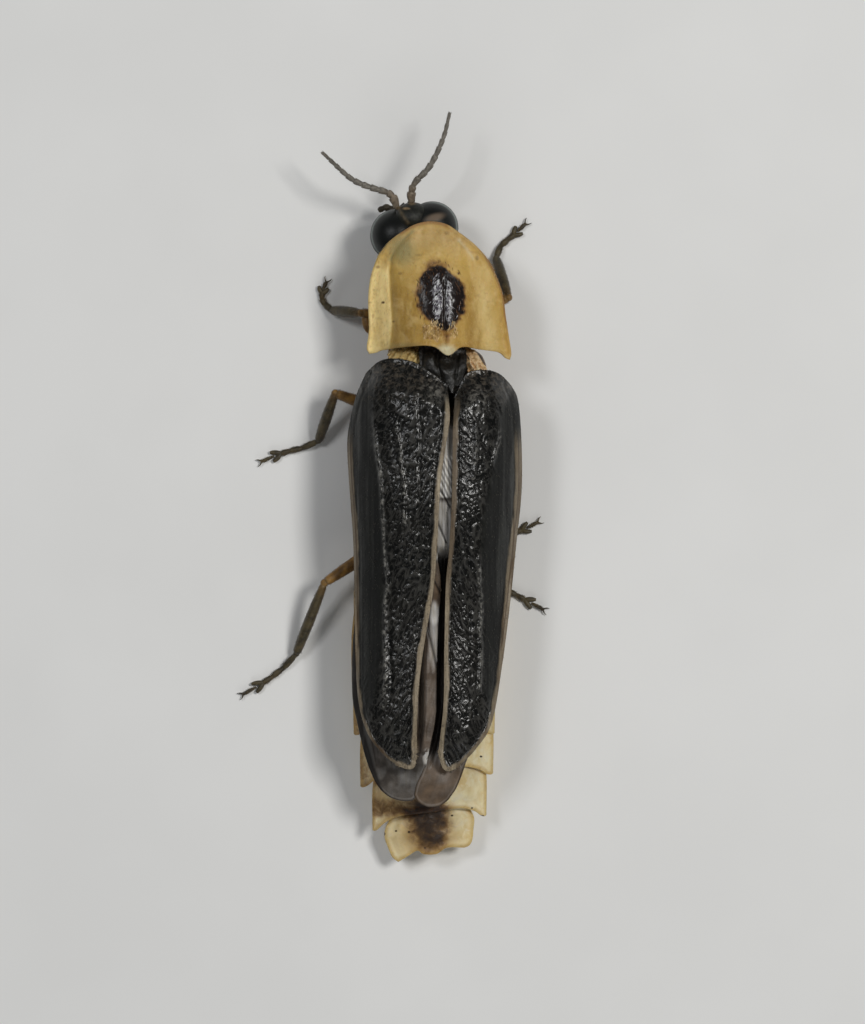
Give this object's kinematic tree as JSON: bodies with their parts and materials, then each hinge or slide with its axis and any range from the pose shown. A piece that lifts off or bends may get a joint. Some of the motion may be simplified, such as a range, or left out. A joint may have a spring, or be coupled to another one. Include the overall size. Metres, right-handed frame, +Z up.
{
  "type": "firefly",
  "caption": "Life-size still model of an adult male firefly with a pale shield, dark wing cases and a pale toothed abdomen, resting on its belly and feet.",
  "frame": {"origin": "centre of the model's base on the floor, under the middle of its bounding box", "axes": "+Z up, -Y towards the head, +Y towards the tail, +X to the animal's left"},
  "size_m": [0.0106, 0.025, 0.0046],
  "materials": {
    "amber": "translucent amber shell with a soft satin gloss",
    "black_shell": "black wrinkled shell with fine pale hairs and a beige rim",
    "black_head": "black shell, satin",
    "eye": "black facetted eye, glossy",
    "feeler": "grey-brown, finely haired",
    "underside": "brown shell with fine hairs",
    "membrane": "smoky folded wing membrane with darker veins",
    "cream": "waxy cream plates with amber rims",
    "lantern": "pale waxy light organ, unlit",
    "leg": "dark grey-brown with fine hairs, yellow-brown at the root"
  },
  "bodies": {
    "root": {"head": "black_head", "eye_left": "eye", "eye_right": "eye", "antenna_left": "feeler", "antenna_right": "feeler", "palp_left": "feeler", "palp_right": "feeler", "pronotum": "amber", "prothorax": "underside", "thorax": "underside", "scutellum": "black_shell", "elytron_left": "black_shell", "elytron_right": "black_shell", "hindwing_left": "membrane", "hindwing_right": "membrane", "abdomen": "cream", "lantern": "lantern", "pygidium": "cream", "leg_front_left": "leg", "leg_front_right": "leg", "leg_middle_left": "leg", "leg_middle_right": "leg", "leg_hind_left": "leg", "leg_hind_right": "leg"}
  },
  "joints": []
}
